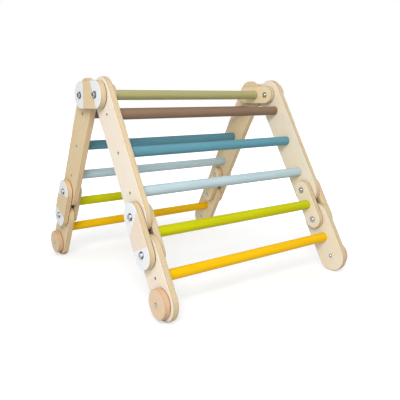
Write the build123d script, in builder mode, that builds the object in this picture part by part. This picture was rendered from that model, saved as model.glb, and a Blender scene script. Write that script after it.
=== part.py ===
"""Folding climbing triangle: two rung ladders, a hinged link at the top and a hinged knee in each ladder.

Frame: X runs along the rungs, Y from the front ladder (-Y) to the rear ladder (+Y), Z up.
The origin is on the floor under the middle of the top rung. Everything is in millimetres.
"""

from build123d import *
from functools import partial
from math import cos, radians, sin
import os

# Ladders
INNER_WIDTH = 625  # clear width between the left and right side boards
LEG_ANGLE = 30.5  # each ladder from the vertical, with the frame standing
RUNG_DIAMETER = 30
RUNG_PITCH = 118
FIRST_RUNG = 63.5  # from the apex pivot down the ladder to the first rung
FOOT_SPAN = 130  # from the lower knee pivot to the foot bolt
UPPER_RUNGS = ("brown", "dark_blue", "light_blue")

# Plywood pieces
PLY = 18
BOARD_WIDTH = 100
OUTER_PLATE_WIDTH = 80
INNER_PLATE_WIDTH = 60
FOOT_DISC_DIAMETER = 80
PIVOT_SPACING = 105  # between the two pivots of a link
LINK_GAP = 0.5  # running gap between a link plate and a side board
ROUNDING = 3  # of the edges of every plywood face
RUNG_CHAMFER = 0.6

# Pivot bolts, with a hexagon head on a washer outside and a pronged tee nut inside
PIVOT_DIAMETER = 8
PIVOT_CLEARANCE = 0.05  # radial, in the side boards
PIVOT_BOLT_LENGTH = 60  # under the head, a stock length
PIVOT_HEAD_FLATS = 13
PIVOT_HEAD_HEIGHT = 5.3
WASHER_DIAMETER = 20
WASHER_THICKNESS = 1.6
TEE_NUT_FLANGE = 21
TEE_NUT_BARREL = 10
TEE_NUT_BARREL_LENGTH = 15
PRONGS = 4
PRONG_RADIUS = 8  # from the nut's axis to the middle of a prong
PRONG_THICKNESS = 1.2
PRONG_WIDTH = 4
PRONG_LENGTH = 8

# Foot bolts, with a flanged sleeve nut inside
FOOT_BOLT_DIAMETER = 6
FOOT_BOLT_LENGTH = 40
FOOT_HEAD_FLATS = 10
FOOT_HEAD_HEIGHT = 4
SLEEVE_NUT_FLANGE = 13
SLEEVE_NUT_BARREL = 8.5
SLEEVE_NUT_BARREL_LENGTH = 12

# Details shared by both bolts and both nuts
HEAD_CHAMFER_DEPTH = 0.7
HEAD_CHAMFER_INSET = 1.4
TIP_CHAMFER = 0.8
NUT_FLANGE_THICKNESS = 1.5

# Rung screws, sunk below the face that they go through
SCREW_DIAMETER = 5
SCREW_LENGTH = 50
SCREW_HEAD_DIAMETER = 8
SCREW_HEAD_HEIGHT = 3
SCREW_RECESS_DIAMETER = 8.6
SCREW_RECESS_DEPTH = 5.5
SCREW_SOCKET_FLATS = 4
SCREW_SOCKET_DEPTH = 2
SCREW_HOLE_CLEARANCE = 0.2
PILOT_EXTRA_DEPTH = 1

# Stations down a ladder, measured from its apex pivot
KNEE_RUNG = FIRST_RUNG + len(UPPER_RUNGS) * RUNG_PITCH
KNEE_TOP = KNEE_RUNG - PIVOT_SPACING / 2
KNEE_BOTTOM = KNEE_RUNG + PIVOT_SPACING / 2
LOWER_RUNG = KNEE_RUNG + RUNG_PITCH
FOOT = KNEE_BOTTOM + FOOT_SPAN

# Distances of the plywood faces from the middle plane
BOARD_IN = INNER_WIDTH / 2
BOARD_OUT = BOARD_IN + PLY
OUTER_PLATE_IN = BOARD_OUT + LINK_GAP
OUTER_PLATE_OUT = OUTER_PLATE_IN + PLY
INNER_PLATE_OUT = BOARD_IN - LINK_GAP
INNER_PLATE_IN = INNER_PLATE_OUT - PLY
FOOT_DISC_OUT = BOARD_OUT + PLY

# Distances of the fastener seats from the middle plane
BOARD_SCREW_SEAT = BOARD_OUT - SCREW_RECESS_DEPTH
LINK_SCREW_SEAT = INNER_PLATE_OUT - SCREW_RECESS_DEPTH
PIVOT_HEAD_SEAT = OUTER_PLATE_OUT + WASHER_THICKNESS

APEX_HEIGHT = BOARD_WIDTH / 2 + FOOT * cos(radians(LEG_ANGLE))
SIDES = {"left": -1, "right": 1}
LADDERS = {"front": -1, "rear": 1}


def apex_plane(side, distance):
    """Plane parallel to the side boards, centred on the top rung, local X towards the rear ladder."""
    return Plane(origin=(side * distance, 0, APEX_HEIGHT), x_dir=(0, 1, 0), z_dir=(side, 0, 0))


def ladder_plane(ladder, side, distance):
    """Plane parallel to the side boards, centred on the apex pivot, local X down the ladder."""
    slope = (0, ladder * sin(radians(LEG_ANGLE)), -cos(radians(LEG_ANGLE)))
    pivot = (side * distance, ladder * PIVOT_SPACING / 2, APEX_HEIGHT)
    return Plane(origin=pivot, x_dir=slope, z_dir=(side, 0, 0))


def save(piece, name):
    """Label a finished piece and write it as its own STEP file."""
    piece.part.label = name
    export_step(piece.part, f"parts/{name}.step")


def round_ended(plane, start, end, width):
    """A plywood slab with fully round ends, from the plane outwards, with its face edges rounded."""
    with BuildPart() as slab:
        with BuildSketch(plane):
            with Locations(((start + end) / 2, 0)):
                SlotCenterToCenter(end - start, width)
        extrude(amount=PLY)
        fillet(slab.faces().filter_by(Axis.X).edges(), ROUNDING)
    return slab


def side_board(name, plane_at, side, start, end, rungs, pivots, foot=None):
    """A ladder's side board, with pivot bores, sunk screw holes at its rungs and a foot bolt hole."""
    slab = round_ended(plane_at(side, BOARD_IN), start, end, BOARD_WIDTH)
    with BuildPart() as board:
        add(slab.part)
        with Locations(plane_at(side, BOARD_OUT)):
            with Locations(*[(station, 0) for station in pivots]):
                Hole(PIVOT_DIAMETER / 2 + PIVOT_CLEARANCE, depth=PLY)
            with Locations(*[(station, 0) for station in rungs]):
                CounterBoreHole(
                    SCREW_DIAMETER / 2 + SCREW_HOLE_CLEARANCE,
                    SCREW_RECESS_DIAMETER / 2,
                    SCREW_RECESS_DEPTH,
                    depth=PLY,
                )
        if foot:
            with Locations(plane_at(-side, -BOARD_IN)):
                with Locations((foot, 0)):
                    CounterBoreHole(
                        FOOT_BOLT_DIAMETER / 2,
                        SLEEVE_NUT_BARREL / 2,
                        SLEEVE_NUT_BARREL_LENGTH,
                        depth=PLY,
                    )
    save(board, name)


def outer_plate(name, plane_at, side, pivots):
    """The wide link plate on the outside of the side boards, bored for the two pivot bolts."""
    slab = round_ended(plane_at(side, OUTER_PLATE_IN), *pivots, OUTER_PLATE_WIDTH)
    with BuildPart() as plate:
        add(slab.part)
        with Locations(plane_at(side, OUTER_PLATE_OUT)):
            with Locations(*[(station, 0) for station in pivots]):
                Hole(PIVOT_DIAMETER / 2, depth=PLY)
    save(plate, name)


def prong_sections():
    """The sections of a tee nut's prongs, added to the sketch that is open."""
    with PolarLocations(PRONG_RADIUS, PRONGS):
        Rectangle(PRONG_THICKNESS, PRONG_WIDTH)


def inner_plate(name, plane_at, side, pivots, rung):
    """The narrow link plate on the inside, cut for the tee nuts and for the screw of its rung."""
    slab = round_ended(plane_at(side, INNER_PLATE_IN), *pivots, INNER_PLATE_WIDTH)
    with BuildPart() as plate:
        add(slab.part)
        with Locations(plane_at(side, INNER_PLATE_OUT)):
            with Locations((rung, 0)):
                CounterBoreHole(
                    SCREW_DIAMETER / 2 + SCREW_HOLE_CLEARANCE,
                    SCREW_RECESS_DIAMETER / 2,
                    SCREW_RECESS_DEPTH,
                    depth=PLY,
                )
        with Locations(plane_at(-side, -INNER_PLATE_IN)):
            with Locations(*[(station, 0) for station in pivots]):
                CounterBoreHole(
                    PIVOT_DIAMETER / 2,
                    TEE_NUT_BARREL / 2,
                    TEE_NUT_BARREL_LENGTH,
                    depth=PLY,
                )
        with BuildSketch(plane_at(-side, -INNER_PLATE_IN)):
            with Locations(*[(station, 0) for station in pivots]):
                prong_sections()
        extrude(amount=-PRONG_LENGTH, mode=Mode.SUBTRACT)
    save(plate, name)


def foot_disc(name, plane_at, side):
    """The round plywood disc on the outside of a foot."""
    with BuildPart() as disc:
        with BuildSketch(plane_at(side, BOARD_OUT)):
            with Locations((FOOT, 0)):
                Circle(FOOT_DISC_DIAMETER / 2)
        extrude(amount=PLY)
        fillet(disc.faces().filter_by(Axis.X).edges(), ROUNDING)
        with Locations(plane_at(side, FOOT_DISC_OUT)):
            with Locations((FOOT, 0)):
                Hole(FOOT_BOLT_DIAMETER / 2, depth=PLY)
    save(disc, name)


def rung(name, plane_at, station, half_length, seat):
    """A round rung between two plywood faces, drilled at both ends for its screws."""
    pilot_depth = SCREW_LENGTH - (seat - half_length) + PILOT_EXTRA_DEPTH
    with BuildPart() as rod:
        with BuildSketch(plane_at(-1, half_length)):
            with Locations((station, 0)):
                Circle(RUNG_DIAMETER / 2)
        extrude(amount=-2 * half_length)
        chamfer(rod.faces().filter_by(Axis.X).edges(), RUNG_CHAMFER)
        for side in SIDES.values():
            with BuildSketch(plane_at(side, half_length)):
                with Locations((station, 0)):
                    Circle(SCREW_DIAMETER / 2)
            extrude(amount=-pilot_depth, mode=Mode.SUBTRACT)
    save(rod, name)


def rung_screw():
    """A wood screw with a cylindrical socket head, seated on the XY plane with its head up."""
    with BuildPart() as screw:
        with BuildSketch():
            Circle(SCREW_HEAD_DIAMETER / 2)
        extrude(amount=SCREW_HEAD_HEIGHT)
        with BuildSketch():
            Circle(SCREW_DIAMETER / 2)
        extrude(amount=-SCREW_LENGTH)
        with BuildSketch(Plane.XY.offset(SCREW_HEAD_HEIGHT)):
            RegularPolygon(SCREW_SOCKET_FLATS / 2, 6, major_radius=False)
        extrude(amount=-SCREW_SOCKET_DEPTH, mode=Mode.SUBTRACT)
    return screw


def hexagon_bolt(diameter, length, flats, height):
    """A bolt whose hexagon head has a turned chamfer, seated on the XY plane with its head up."""
    with BuildPart() as bolt:
        with BuildSketch():
            Circle(flats / 2 / cos(radians(30)))
        extrude(amount=height)
        rim = bolt.faces().sort_by(Axis.Z)[-1]
        chamfer(rim.edges(), HEAD_CHAMFER_INSET, HEAD_CHAMFER_DEPTH, reference=rim)
        with BuildSketch():
            RegularPolygon(flats / 2, 6, major_radius=False)
        extrude(amount=height, mode=Mode.INTERSECT)
        with BuildSketch():
            Circle(diameter / 2)
        extrude(amount=-length)
        chamfer(bolt.faces().sort_by(Axis.Z)[0].edges(), TIP_CHAMFER)
    return bolt


def washer():
    """A plain washer for a pivot bolt, lying on the XY plane."""
    with BuildPart() as ring:
        with BuildSketch():
            Circle(WASHER_DIAMETER / 2)
            Circle(PIVOT_DIAMETER / 2, mode=Mode.SUBTRACT)
        extrude(amount=WASHER_THICKNESS)
    return ring


def tee_nut():
    """A pronged nut: its flange hangs below the XY plane, and its barrel and prongs stand on it."""
    notch_depth = TEE_NUT_FLANGE / 2 - PRONG_RADIUS - PRONG_THICKNESS / 2
    with BuildPart() as nut:
        with BuildSketch():
            Circle(TEE_NUT_FLANGE / 2)
            with PolarLocations(TEE_NUT_FLANGE / 2 - notch_depth / 2, PRONGS):
                Rectangle(notch_depth, PRONG_WIDTH, mode=Mode.SUBTRACT)
        extrude(amount=-NUT_FLANGE_THICKNESS)
        with BuildSketch():
            prong_sections()
        extrude(amount=PRONG_LENGTH)
        with BuildSketch():
            Circle(TEE_NUT_BARREL / 2)
        extrude(amount=TEE_NUT_BARREL_LENGTH)
        Hole(PIVOT_DIAMETER / 2)
    return nut


def sleeve_nut():
    """A plain nut: its round flange hangs below the XY plane, and its barrel stands on it."""
    with BuildPart() as nut:
        with BuildSketch():
            Circle(SLEEVE_NUT_FLANGE / 2)
        extrude(amount=-NUT_FLANGE_THICKNESS)
        with BuildSketch():
            Circle(SLEEVE_NUT_BARREL / 2)
        extrude(amount=SLEEVE_NUT_BARREL_LENGTH)
        Hole(FOOT_BOLT_DIAMETER / 2)
    return nut


def fasteners(name, piece, plane_at, distance, stations):
    """Copies of one fastener at each station on both sides, as separate solids in one file."""
    with BuildPart() as group:
        for side in SIDES.values():
            with Locations(plane_at(side, distance)):
                with Locations(*[(station, 0) for station in stations]):
                    add(piece.part)
    save(group, name)


def link(prefix, plane_at, pivots, middle, rung_name):
    """A link body: outer and inner plates, the rung between the inner plates, and the pivot hardware."""
    for side_name, side in SIDES.items():
        outer_plate(f"{prefix}_outer_plate_{side_name}", plane_at, side, pivots)
        inner_plate(f"{prefix}_inner_plate_{side_name}", plane_at, side, pivots, middle)
    rung(f"{prefix}_rung_{rung_name}", plane_at, middle, INNER_PLATE_IN, LINK_SCREW_SEAT)
    fasteners(f"{prefix}_rung_screws", rung_screw(), plane_at, LINK_SCREW_SEAT, [middle])
    fasteners(f"{prefix}_washers", washer(), plane_at, OUTER_PLATE_OUT, pivots)
    bolt = hexagon_bolt(PIVOT_DIAMETER, PIVOT_BOLT_LENGTH, PIVOT_HEAD_FLATS, PIVOT_HEAD_HEIGHT)
    fasteners(f"{prefix}_pivot_bolts", bolt, plane_at, PIVOT_HEAD_SEAT, pivots)
    fasteners(f"{prefix}_pivot_nuts", tee_nut(), plane_at, INNER_PLATE_IN, pivots)


def upper_ladder(prefix, plane_at):
    """The long upper part of a ladder, with three rungs."""
    stations = [FIRST_RUNG + number * RUNG_PITCH for number in range(len(UPPER_RUNGS))]
    for side_name, side in SIDES.items():
        pivots = (0, KNEE_TOP)
        side_board(f"{prefix}_side_{side_name}", plane_at, side, 0, KNEE_TOP, stations, pivots)
    for station, colour in zip(stations, UPPER_RUNGS):
        rung(f"{prefix}_rung_{colour}", plane_at, station, BOARD_IN, BOARD_SCREW_SEAT)
    fasteners(f"{prefix}_rung_screws", rung_screw(), plane_at, BOARD_SCREW_SEAT, stations)


def lower_ladder(prefix, plane_at):
    """The short lower part of a ladder, with one rung and a disc bolted on the outside of each foot."""
    for side_name, side in SIDES.items():
        side_board(
            f"{prefix}_side_{side_name}",
            plane_at,
            side,
            KNEE_BOTTOM,
            FOOT,
            [LOWER_RUNG],
            [KNEE_BOTTOM],
            foot=FOOT,
        )
        foot_disc(f"{prefix}_foot_disc_{side_name}", plane_at, side)
    rung(f"{prefix}_rung_yellow", plane_at, LOWER_RUNG, BOARD_IN, BOARD_SCREW_SEAT)
    fasteners(f"{prefix}_rung_screws", rung_screw(), plane_at, BOARD_SCREW_SEAT, [LOWER_RUNG])
    bolt = hexagon_bolt(FOOT_BOLT_DIAMETER, FOOT_BOLT_LENGTH, FOOT_HEAD_FLATS, FOOT_HEAD_HEIGHT)
    fasteners(f"{prefix}_foot_bolts", bolt, plane_at, FOOT_DISC_OUT, [FOOT])
    fasteners(f"{prefix}_foot_nuts", sleeve_nut(), plane_at, BOARD_IN, [FOOT])


os.makedirs("parts", exist_ok=True)
link("apex", apex_plane, (-PIVOT_SPACING / 2, PIVOT_SPACING / 2), 0, "olive")
for ladder_name, ladder in LADDERS.items():
    plane_on_ladder = partial(ladder_plane, ladder)
    upper_ladder(f"{ladder_name}_upper", plane_on_ladder)
    link(f"{ladder_name}_knee", plane_on_ladder, (KNEE_TOP, KNEE_BOTTOM), KNEE_RUNG, "green")
    lower_ladder(f"{ladder_name}_lower", plane_on_ladder)
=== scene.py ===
"""Looks of the folding climbing triangle: plywood, painted rungs, plated hardware, studio and camera.

Everything is in metres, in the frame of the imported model. X runs along the rungs, the front ladder is
towards -Y and Z is up. "Down" a ladder runs from the apex to the foot, and "across" it is square to that.
Colours are given as display values from 0 to 255. A noise's density is in its cells per metre.
"""

from math import cos, radians, sin

import bmesh
import bpy
from mathutils import Matrix, Vector


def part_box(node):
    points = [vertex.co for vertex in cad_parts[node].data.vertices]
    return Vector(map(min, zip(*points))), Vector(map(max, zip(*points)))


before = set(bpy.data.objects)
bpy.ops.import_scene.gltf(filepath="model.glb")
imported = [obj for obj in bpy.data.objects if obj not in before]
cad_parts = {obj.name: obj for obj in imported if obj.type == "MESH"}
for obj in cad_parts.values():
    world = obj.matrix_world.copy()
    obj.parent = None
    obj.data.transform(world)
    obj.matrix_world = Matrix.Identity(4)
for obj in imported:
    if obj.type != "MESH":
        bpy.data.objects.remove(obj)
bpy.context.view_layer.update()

LEG_ANGLE = radians(30.5)  # each ladder from the vertical
LADDERS = {"front": -1, "rear": 1}
PLY = 0.018
PLIES = 13
OUTER_PLATE_HALF = 0.040
RIGHT, BACK, UP = (1, 0, 0), (0, 1, 0), (0, 0, 1)


# ---- Small helpers for shader trees ----

def linear(red, green, blue):
    """A display colour as linear values for a shader."""
    def channel(value):
        value /= 255
        return value / 12.92 if value <= 0.04045 else ((value + 0.055) / 1.055) ** 2.4
    return (channel(red), channel(green), channel(blue), 1.0)


class Tree:
    """The node tree of a material or a world, with one short call per node."""

    def __init__(self, owner):
        owner.use_nodes = True
        self.owner = owner
        self.nodes = owner.node_tree.nodes
        self.nodes.clear()

    def link(self, start, end):
        self.owner.node_tree.links.new(start, end)

    def add(self, kind, **settings):
        node = self.nodes.new(kind)
        for key, value in settings.items():
            setattr(node, key, value)
        return node

    def feed(self, socket, value):
        """Sets a socket to a number or a colour, or links it to another node's output."""
        if isinstance(value, bpy.types.NodeSocket):
            self.link(value, socket)
        else:
            socket.default_value = value

    def math(self, operation, *values):
        node = self.add("ShaderNodeMath", operation=operation)
        for socket, value in zip(node.inputs, values):
            self.feed(socket, value)
        return node.outputs[0]

    def plus(self, *values):
        total = values[0]
        for value in values[1:]:
            total = self.math("ADD", total, value)
        return total

    def minus(self, first, second):
        return self.math("SUBTRACT", first, second)

    def times(self, *values):
        total = values[0]
        for value in values[1:]:
            total = self.math("MULTIPLY", total, value)
        return total

    def larger(self, first, second):
        return self.math("MAXIMUM", first, second)

    def size_of(self, value):
        return self.math("ABSOLUTE", value)

    def dot(self, vector, direction):
        node = self.add("ShaderNodeVectorMath", operation="DOT_PRODUCT")
        self.link(vector, node.inputs[0])
        node.inputs[1].default_value = direction
        return node.outputs["Value"]

    def point(self, x, y, z):
        node = self.add("ShaderNodeCombineXYZ")
        for socket, value in zip(node.inputs, (x, y, z)):
            self.feed(socket, value)
        return node.outputs[0]

    def noise(self, x, y, z, detail=2.0, roughness=0.5, distortion=0.0):
        """Fractal noise about 0.5, at a point whose coordinates are already in noise cells."""
        node = self.add("ShaderNodeTexNoise", noise_dimensions="3D")
        self.link(self.point(x, y, z), node.inputs["Vector"])
        node.inputs["Scale"].default_value = 1.0
        node.inputs["Detail"].default_value = detail
        node.inputs["Roughness"].default_value = roughness
        node.inputs["Distortion"].default_value = distortion
        return node.outputs[0]

    def ramp(self, value, low, high, to_low=0.0, to_high=1.0):
        """Maps low..high smoothly onto to_low..to_high, and holds it there outside."""
        node = self.add("ShaderNodeMapRange", interpolation_type="SMOOTHSTEP", clamp=True)
        for key, number in zip(("From Min", "From Max", "To Min", "To Max"), (low, high, to_low, to_high)):
            self.feed(node.inputs[key], number)
        self.feed(node.inputs["Value"], value)
        return node.outputs[0]

    def spread(self, noise, to_low, to_high):
        """Maps the bulk of a noise onto to_low..to_high."""
        return self.ramp(noise, 0.3, 0.7, to_low, to_high)

    def peaks(self, noise, depth):
        """The depth at the few high peaks of a noise, and 0 elsewhere."""
        return self.ramp(noise, 0.66, 0.8, 0.0, depth)

    def between(self, value, rise, fall):
        """1 between a rise and a fall, which are both given as start and end."""
        return self.times(self.ramp(value, *rise), self.ramp(value, *fall))

    def mix(self, factor, first, second, blend="MIX"):
        node = self.add("ShaderNodeMix", data_type="RGBA", blend_type=blend)
        sockets = {socket.identifier: socket for socket in node.inputs}
        self.feed(sockets["Factor_Float"], factor)
        self.feed(sockets["A_Color"], first)
        self.feed(sockets["B_Color"], second)
        return next(socket for socket in node.outputs if socket.identifier == "Result_Color")

    def shaded(self, colour, shade):
        """A colour multiplied by a number."""
        return self.mix(1.0, colour, self.point(shade, shade, shade), "MULTIPLY")


class Finish(Tree):
    """A material with one Principled shader, and its place on the object along X, Y and Z."""

    def __init__(self, name):
        self.material = bpy.data.materials.new(name)
        super().__init__(self.material)
        output = self.add("ShaderNodeOutputMaterial")
        self.shader = self.add("ShaderNodeBsdfPrincipled")
        self.link(self.shader.outputs[0], output.inputs["Surface"])
        coordinates = self.add("ShaderNodeTexCoord")
        self.place = coordinates.outputs["Object"]
        self.normal = coordinates.outputs["Normal"]
        self.x, self.y, self.z = (self.dot(self.place, axis) for axis in (RIGHT, BACK, UP))

    def set(self, **inputs):
        for key, value in inputs.items():
            self.feed(self.shader.inputs[key.replace("_", " ")], value)

    def along_x(self, x_density, yz_density, offset=0.0, **settings):
        """Noise drawn out along X, as the grain of a rung is."""
        z = self.times(self.z, yz_density)
        z = self.plus(z, offset) if offset else z
        return self.noise(self.times(self.x, x_density), self.times(self.y, yz_density), z, **settings)

    def crevice_shade(self, distance):
        """The mask of painted shade: 0 on open surfaces, and up to 1 where others stand closer than the distance.
        """
        node = self.add("ShaderNodeAmbientOcclusion", samples=8)
        node.inputs["Distance"].default_value = distance
        return self.ramp(node.outputs["AO"], 0.48, 0.1)

    def bump(self, height, distance, strength):
        node = self.add("ShaderNodeBump")
        node.inputs["Strength"].default_value = strength
        node.inputs["Distance"].default_value = distance
        self.link(height, node.inputs["Height"])
        self.link(node.outputs[0], self.shader.inputs["Normal"])


# ---- Plywood ----

WHITE_PAINT = (227, 230, 232)
WHITE_PAINT_THIN = (214, 212, 206)  # where the fibres show through it
# Painted shade: a dark brown mixed into the wood where other parts stand close, in corners, gaps, recesses and
# along contacts, and how far it reaches
CREVICE_SHADE = (118, 62, 24)
CREVICE_SHADE_DEPTH = 0.025
WARM_SHIFT = (5, 11, 20)  # from a veneer's colour to that of its warmer fields

# Densities of the grain of a face, along and across it
TONE = (5, 22)
FIELD = (2.4, 13)
FIBRE = (45, 1300)
FLECKS = (190, 1700)
RINGS_PER_FIELD = 150

# Densities of the grain of an edge, in its own plane and through the layers
EDGE_STREAK = (80, 2600)
EDGE_PATCH = (14, 500)

# How far a normal lies along X, as the start and end of a change: 0 is the edge and 1 the flat face
EDGE_TO_FACE = (0.5, 0.8)
LAYERS_ON_ROUNDING = ((0.1, 0.35), (0.98, 0.7))
# Where a rounding is darkened: partly its cut, darker fibres and partly painted shade
ROUNDING_END_GRAIN_AND_SHADE = ((0.1, 0.4), (0.995, 0.9))
PAINTED_FACE = (0.78, 0.88)

# Paint on an outer face
PAINT_WANDER_DENSITY = 160
PAINT_WANDER = 0.0004
PAINT_BORDER = 0.0002


def face_veneer(tree, along, across, seed, colour):
    """The lengthwise veneer of a plywood face: its colour, and the height of its fibres."""
    def grain(density, offset, *settings):
        return tree.noise(tree.times(along, density[0]), tree.times(across, density[1]), seed + offset, *settings)

    tone = grain(TONE, 0.0, 3.0, 0.55)
    rings = tree.math("SINE", tree.times(grain(FIELD, 7.3, 1.0, 0.4, 0.3), RINGS_PER_FIELD))
    fibre = grain(FIBRE, 3.1, 2.0, 0.6)
    flecks = grain(FLECKS, 5.7, 1.0, 0.5)
    shade = tree.plus(
        tree.spread(tone, 0.95, 1.03),
        tree.times(rings, 0.011),
        tree.spread(fibre, -0.03, 0.025),
        tree.peaks(flecks, -0.1),
    )
    warmer = [value - shift for value, shift in zip(colour, WARM_SHIFT)]
    warm = tree.mix(tree.ramp(tone, 0.35, 0.75), linear(*colour), linear(*warmer))
    return tree.shaded(warm, shade), fibre


def layered_edge(tree, along, across, depth, facing, end_on, seed, light, dark):
    """The edge of plywood: its layers in turn lengthwise and crosswise, and the height of their grain.

    A layer is darker where its end grain shows, so the two kinds swap round a curved end.
    """
    def grain(density, rough):
        flat, through = density
        place = (tree.times(along, flat), tree.times(depth, through), tree.times(across, flat))
        return tree.noise(*place, roughness=rough)

    layer = tree.times(depth, PLIES / PLY)
    part = tree.math("FRACT", layer)
    crosswise = tree.ramp(tree.math("PINGPONG", tree.minus(layer, 0.5), 1.0), 0.42, 0.58)
    square = tree.times(end_on, end_on)
    end_grain = tree.plus(tree.times(crosswise, tree.minus(1.0, tree.times(square, 2.0))), square)
    darkness = tree.times(end_grain, tree.spread(grain(EDGE_PATCH, 0.5), 0.45, 1.0))
    colour = tree.mix(darkness, linear(*light), linear(*dark))
    streak = grain(EDGE_STREAK, 0.6)
    veneer = tree.noise(tree.math("FLOOR", layer), seed, 0.5, detail=0.0)
    glue = tree.larger(tree.ramp(part, 0.09, 0.0), tree.ramp(part, 0.91, 1.0))
    shade = tree.plus(
        tree.spread(streak, 0.93, 1.05),
        tree.spread(veneer, -0.05, 0.03),
        tree.times(glue, -0.2),
        tree.times(tree.between(facing, *LAYERS_ON_ROUNDING), crosswise, -0.2),
    )
    return tree.shaded(colour, shade), streak


def beyond_lines(tree, along, across, lines, seed):
    """1 on the outer side of either painted line, which wanders a little as a masked edge does."""
    density = PAINT_WANDER_DENSITY
    wander = tree.noise(tree.times(along, density), tree.times(across, density), seed)
    wander = tree.ramp(wander, 0.0, 1.0, -PAINT_WANDER, PAINT_WANDER)
    painted = 0.0
    for (part_down, part_across), distance in lines:
        reach = tree.plus(tree.times(along, part_down), tree.times(across, part_across), -distance, wander)
        painted = tree.larger(painted, tree.ramp(reach, -PAINT_BORDER, PAINT_BORDER))
    return painted


def plywood(name, inner, down, seed, face, edge, lines=()):
    """Lacquered birch plywood whose layers lie across X, from the distance inner outwards.

    down is the direction of the face grain. Each of the lines is on the outer face, as a direction in
    (down, across) and a distance, and the face is painted white beyond it.
    """
    tree = Finish(name)
    along = tree.dot(tree.place, down)
    across = tree.dot(tree.place, Vector(RIGHT).cross(down))
    depth = tree.minus(tree.size_of(tree.x), inner)
    facing = tree.size_of(tree.dot(tree.normal, RIGHT))
    end_on = tree.size_of(tree.dot(tree.normal, down))

    face_colour, fibre = face_veneer(tree, along, across, seed, face)
    edge_colour, streak = layered_edge(tree, along, across, depth, facing, end_on, seed, *edge)
    colour = tree.mix(tree.ramp(facing, *EDGE_TO_FACE), edge_colour, face_colour)
    # The roundings are darker: partly the cut fibres of the wood there, partly painted shade that takes their
    # highlight down
    end_grain_and_shade = tree.times(tree.between(facing, *ROUNDING_END_GRAIN_AND_SHADE), 0.17)
    # Painted shade: dark brown mixed in where other parts stand close; the same mask also makes the wood rougher
    # there
    crevice_shade = tree.crevice_shade(CREVICE_SHADE_DEPTH)
    colour = tree.shaded(colour, tree.minus(1.0, end_grain_and_shade))
    colour = tree.mix(tree.times(crevice_shade, 0.95), colour, linear(*CREVICE_SHADE))
    roughness = tree.spread(fibre, 0.44, 0.56)
    height = tree.plus(tree.times(fibre, 0.6), tree.times(streak, 0.3))
    if lines:
        outside = tree.times(tree.ramp(depth, PLY * 0.6, PLY * 0.8), tree.ramp(facing, *PAINTED_FACE))
        painted = tree.times(beyond_lines(tree, along, across, lines, seed), outside)
        thin = tree.ramp(fibre, 0.4, 0.75, 0.0, 0.25)
        coat = tree.mix(thin, linear(*WHITE_PAINT), linear(*WHITE_PAINT_THIN))
        colour = tree.mix(painted, colour, coat)
        roughness = tree.minus(roughness, tree.times(painted, 0.08))
        height = tree.plus(tree.times(height, 0.7), tree.times(painted, 1.2))
    roughness = tree.plus(roughness, tree.times(crevice_shade, 0.4))
    tree.set(Base_Color=colour, Roughness=roughness, Specular_IOR_Level=0.3)
    tree.bump(height, distance=0.00012, strength=0.5)
    return tree.material


# ---- Painted rungs and plated hardware ----

# Densities of a rung's grain, along X and across it
RUNG_GRAIN = (9, 420)
RUNG_STREAK = (4, 140)
RUNG_PORES = (120, 1500)
RUNG_CLOUD = (5, 25)
# How far the painted shade where a rung meets the boards reaches
RUNG_CREVICE_SHADE_DEPTH = 0.006

PLATING_CLOUD = 350
SCRATCH = (300, 5200, 700)  # densities along X, Y and Z
# How far the painted shade in the hardware's corners reaches
STEEL_CREVICE_SHADE_DEPTH = 0.004

# Plating of the hardware, as its colour and its roughness, some of it darkened as painted shade
# The rung screws are near black: a dark finish, darkened further as painted shade of the recesses they sit in
BLACK_FINISH_AND_RECESS_SHADE = ((26, 25, 26), 0.6)
# The washers' plating is a darker copy of the zinc: painted shade and a painted dark reflection in the ring round
# each head
ZINC_DARKENED_AS_SHADE = ((112, 116, 120), 0.34)
ZINC_PLATING = ((212, 215, 218), 0.2)


def rung_paint(name, colour, seed):
    """Satin paint over a turned beech rod: the grain along X still shows through it."""
    tree = Finish(name)
    grain = tree.along_x(*RUNG_GRAIN, detail=3.0, roughness=0.6, distortion=0.2)
    streak = tree.along_x(*RUNG_STREAK, detail=1.0)
    pores = tree.along_x(*RUNG_PORES, detail=1.0)
    cloud = tree.along_x(*RUNG_CLOUD, offset=seed)
    shade = tree.plus(
        tree.spread(grain, 0.955, 1.03),
        tree.spread(streak, -0.045, 0.045),
        tree.spread(cloud, -0.025, 0.025),
        tree.peaks(pores, -0.07),
        # Painted shade: darker where the rung enters the boards
        tree.times(tree.crevice_shade(RUNG_CREVICE_SHADE_DEPTH), -0.5),
    )
    roughness = tree.spread(cloud, 0.44, 0.56)
    tree.set(Base_Color=tree.shaded(linear(*colour), shade), Roughness=roughness, Specular_IOR_Level=0.12)
    tree.bump(tree.minus(grain, tree.times(pores, 0.5)), distance=0.00015, strength=0.45)
    return tree.material


def plated_steel(name, colour, rough, seed):
    """Plated steel, slightly clouded, with fine handling scratches, and with painted shade in its corners."""
    tree = Finish(name)
    cloud = tree.along_x(PLATING_CLOUD, PLATING_CLOUD, offset=seed, detail=3.0)
    axes = (tree.x, tree.y, tree.z)
    scratch = tree.noise(*(tree.times(axis, density) for axis, density in zip(axes, SCRATCH)), 1.0, 0.4)
    # Painted shade: darker in the corners, where other parts stand close
    corner_shade_factor = tree.minus(1.0, tree.times(tree.crevice_shade(STEEL_CREVICE_SHADE_DEPTH), 0.3))
    shade = tree.times(tree.spread(cloud, 0.86, 1.04), corner_shade_factor)
    roughness = tree.ramp(cloud, 0.25, 0.75, rough - 0.06, rough + 0.1)
    tree.set(Base_Color=tree.shaded(linear(*colour), shade), Metallic=1.0, Roughness=roughness)
    tree.bump(tree.plus(cloud, tree.times(scratch, 0.6)), distance=0.00003, strength=0.35)
    return tree.material


# ---- Where things are ----

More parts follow.
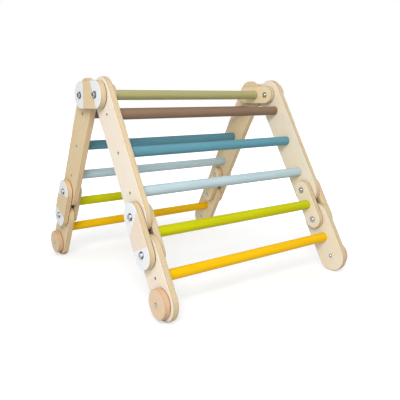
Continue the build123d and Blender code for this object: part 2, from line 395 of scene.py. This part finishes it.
def down_of(node):
    """The direction from the apex to the foot for a ladder piece, or towards the rear for an apex piece."""
    for name, ladder in LADDERS.items():
        if node.startswith(name):
            return Vector((0, ladder * sin(LEG_ANGLE), -cos(LEG_ANGLE)))
    return Vector(BACK)


def inner_of(node):
    """The distance of a plywood piece's inner face from the middle plane."""
    low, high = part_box(node)
    return min(abs(low[0]), abs(high[0]))


def middle_of(node):
    low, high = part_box(node)
    return (Vector(low) + Vector(high)) / 2


# White ends of the outer plates, as where each edge of the white crosses the plate's two long edges,
# in metres from the plate's middle along it: (at the low edge across, at the high edge across)
PAINT_ENDS = {
    "apex": {"near": (-0.058, -0.023), "far": (0.032, 0.027)},
    "front_knee": {"near": (-0.054, -0.009), "far": (0.042, 0.032)},
    "rear_knee": {"near": (-0.058, -0.016), "far": (0.034, 0.039)},
}


def paint_lines(node):
    """The two lines beyond which an outer plate is white, as directions and distances in its own plane."""
    group = next(key for key in PAINT_ENDS if node.startswith(key))
    down = down_of(node)
    across = Vector(RIGHT).cross(down)
    middle = middle_of(node)
    lines = []
    for end, sense in (("near", -1), ("far", 1)):
        low, high = PAINT_ENDS[group][end]
        edge = Vector((high - low, 2 * OUTER_PLATE_HALF)).normalized()
        square = Vector((edge.y, -edge.x)) * sense
        on_line = Vector((down.dot(middle) + (low + high) / 2, across.dot(middle)))
        lines.append(((square.x, square.y), square.dot(on_line)))
    return lines


# ---- Dressing the CAD pieces ----

# Tones of the plywood faces; some of the darker ones stand partly for painted shade, as told below
VENEER_AND_SHADE_TONES = {
    "ivory": (235, 225, 210),
    "cream": (230, 220, 200),
    "blush": (230, 215, 200),
    "straw": (230, 210, 175),
    "tan": (220, 200, 165),
    "rosy": (220, 195, 165),
}

# The face tone of each plywood piece, by the first of these that is in its name. The darker tones of the rear and
# right-hand pieces are partly the veneers' own and partly painted shade, where less light reaches them.
FACES = {
    "foot_disc": "rosy",
    "front_knee_outer_plate_left": "blush",
    "outer_plate_left": "tan",
    "outer_plate_right": "straw",
    "front_knee_inner_plate": "cream",
    "inner_plate_left": "cream",
    "inner_plate_right": "straw",
    "rear_lower_side_right": "straw",
    "rear": "tan",
    "left": "ivory",
    "right": "cream",
}

# The layers of its edge in the same way, as their light and their dark colour
EDGES = {
    "foot_disc": ((215, 180, 145), (185, 140, 105)),
    "rear": ((225, 200, 160), (190, 150, 105)),
    "": ((210, 195, 160), (180, 145, 105)),
}

PAINTS = {
    "olive": (165, 160, 110),
    "brown": (130, 105, 85),
    "dark_blue": (90, 140, 155),
    "light_blue": (175, 195, 200),
    "green": (185, 185, 0),
    "yellow": (230, 180, 0),
}


def by_name(table, node):
    """The first entry of a table whose key is in a node's name."""
    return next(value for key, value in table.items() if key in node)


def dress(node, seed):
    """The material for one CAD node."""
    if "rung_screws" in node:
        return plated_steel(f"{node}_black", *BLACK_FINISH_AND_RECESS_SHADE, seed)
    if "washers" in node:
        return plated_steel(f"{node}_grey", *ZINC_DARKENED_AS_SHADE, seed)
    if any(word in node for word in ("bolts", "nuts")):
        return plated_steel(f"{node}_zinc", *ZINC_PLATING, seed)
    if "_rung_" in node:
        return rung_paint(f"{node}_paint", PAINTS[node.split("_rung_")[1]], seed)
    lines = paint_lines(node) if "outer_plate" in node else ()
    face, edge = VENEER_AND_SHADE_TONES[by_name(FACES, node)], by_name(EDGES, node)
    return plywood(f"{node}_plywood", inner_of(node), down_of(node), seed, face, edge, lines)


SEED_STEP = 1.7  # between the noises of two pieces

for number, (node, piece) in enumerate(sorted(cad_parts.items())):
    piece.data.materials.clear()
    piece.data.materials.append(dress(node, SEED_STEP * number))


# ---- Studio ----

FLOOR_HALF = 8.0
FLOOR_FRONT = -1.8  # the floor ends this far in front, so that the hardware mirrors the room's card there
FLOOR_SHADE = (0.67, 0.69)
FLOOR_SEEN_DARKER = 0.23  # its own glow makes up for this where the camera sees it
FLOOR_GLOW = (0.56, 1.0)
FLOOR_GLOW_RADII = (0.4, 1.5)

LIT_FROM = Vector((-0.6, -0.3, 0.74)).normalized()
LIGHTING = (0.42, 0.78)  # strength away from that direction, and towards it
LIGHT_CARD = Vector((0.38, -0.85, 0.35)).normalized()  # what the sides of the hexagon heads mirror
CARD_STRENGTH = 1.5
CARD_BORDER = (0.3, 0.7)  # cosines of the angles from its middle between which it fades in
MIRRORED = (0.2, 0.5)  # strength of the rest of the room in the gloss, at the horizon and overhead

SUBJECT = (0, 0, 0.3)
LIGHTS = {
    "key": {"place": (-1.5, -1.8, 1.8), "size": 1.2, "power": 52},
    "fill": {"place": (2.4, 0.2, 0.8), "size": 1.4, "power": 17},
}

SENSOR_WIDTH = 36  # mm
FOCAL_LENGTH = 44.55  # mm
CAMERA_PLACE = (-0.938, -1.361, 0.546)
YAW = radians(35.894)  # from the rear towards the right
PITCH = radians(-11.256)
ROLL = radians(-0.474)


def floor_paper():
    """White paper with a soft glow that grows outwards, so that it melts into the white surround."""
    tree = Finish("floor_paper")
    soft = tree.noise(tree.times(tree.x, 3), tree.times(tree.y, 3), 0.0)
    radius = tree.math("SQRT", tree.plus(tree.times(tree.x, tree.x), tree.times(tree.y, tree.y)))
    seen = tree.add("ShaderNodeLightPath").outputs["Is Camera Ray"]
    shade = tree.plus(tree.spread(soft, *FLOOR_SHADE), tree.times(seen, -FLOOR_SEEN_DARKER))
    glow = tree.times(tree.ramp(radius, *FLOOR_GLOW_RADII, *FLOOR_GLOW), seen)
    tree.set(Base_Color=tree.point(shade, shade, shade), Roughness=0.9, Specular_IOR_Level=0.1)
    tree.set(Emission_Color=(1.0, 1.0, 1.0, 1.0), Emission_Strength=glow)
    return tree.material


def floor():
    """A wide pale floor."""
    corners = [
        (-FLOOR_HALF, FLOOR_FRONT, 0),
        (FLOOR_HALF, FLOOR_FRONT, 0),
        (FLOOR_HALF, FLOOR_HALF, 0),
        (-FLOOR_HALF, FLOOR_HALF, 0),
    ]
    mesh = bmesh.new()
    mesh.faces.new([mesh.verts.new(corner) for corner in corners])
    data = bpy.data.meshes.new("floor")
    mesh.to_mesh(data)
    mesh.free()
    item = bpy.data.objects.new("floor", data)
    bpy.context.scene.collection.objects.link(item)
    data.materials.append(floor_paper())


def area_light(name, place, size, power):
    """A round soft light that faces the subject."""
    light = bpy.data.lights.new(name, "AREA")
    light.shape = "DISK"
    light.size = size
    light.energy = power
    item = bpy.data.objects.new(name, light)
    item.location = place
    item.rotation_euler = (Vector(SUBJECT) - Vector(place)).to_track_quat("-Z", "Y").to_euler()
    bpy.context.scene.collection.objects.link(item)


def surround():
    """A room that is white to look at, lights softly from the upper left and mirrors as mostly dark."""
    world = bpy.data.worlds.new("studio")
    bpy.context.scene.world = world
    tree = Tree(world)
    ray = tree.add("ShaderNodeLightPath")
    direction = tree.add("ShaderNodeTexCoord").outputs["Generated"]
    towards = tree.dot(direction, LIT_FROM)
    height = tree.dot(direction, UP)

    def background(strength):
        node = tree.add("ShaderNodeBackground")
        node.inputs["Color"].default_value = (1.0, 1.0, 1.0, 1.0)
        tree.feed(node.inputs["Strength"], strength)
        return node.outputs[0]

    def either(factor, first, second):
        node = tree.add("ShaderNodeMixShader")
        for socket, value in zip(node.inputs, (factor, first, second)):
            tree.link(value, socket)
        return node.outputs[0]

    lighting = background(tree.ramp(towards, -0.6, 1.0, *LIGHTING))
    card = tree.ramp(tree.dot(direction, LIGHT_CARD), *CARD_BORDER, 0.0, CARD_STRENGTH)
    mirrored = background(tree.larger(tree.ramp(height, 0.2, 1.0, *MIRRORED), card))
    seen = background(1.0)
    shader = either(ray.outputs["Is Glossy Ray"], lighting, mirrored)
    shader = either(ray.outputs["Is Camera Ray"], shader, seen)
    output = tree.add("ShaderNodeOutputWorld")
    tree.link(shader, output.inputs["Surface"])


def camera():
    """The camera, on the left of the front ladder and a little below the apex's height."""
    data = bpy.data.cameras.new("camera")
    data.sensor_width = SENSOR_WIDTH
    data.lens = FOCAL_LENGTH
    item = bpy.data.objects.new("camera", data)
    bpy.context.scene.collection.objects.link(item)
    forward = Vector((sin(YAW) * cos(PITCH), cos(YAW) * cos(PITCH), sin(PITCH)))
    right = forward.cross(Vector(UP)).normalized()
    up = right.cross(forward)
    rolled_right = right * cos(ROLL) + up * sin(ROLL)
    rolled_up = up * cos(ROLL) - right * sin(ROLL)
    turn = Matrix((rolled_right, rolled_up, -forward)).transposed()
    item.matrix_world = Matrix.Translation(CAMERA_PLACE) @ turn.to_4x4()
    bpy.context.scene.camera = item


bpy.context.scene.view_settings.view_transform = "Standard"
for name, light in LIGHTS.items():
    area_light(name, **light)
surround()
floor()
camera()
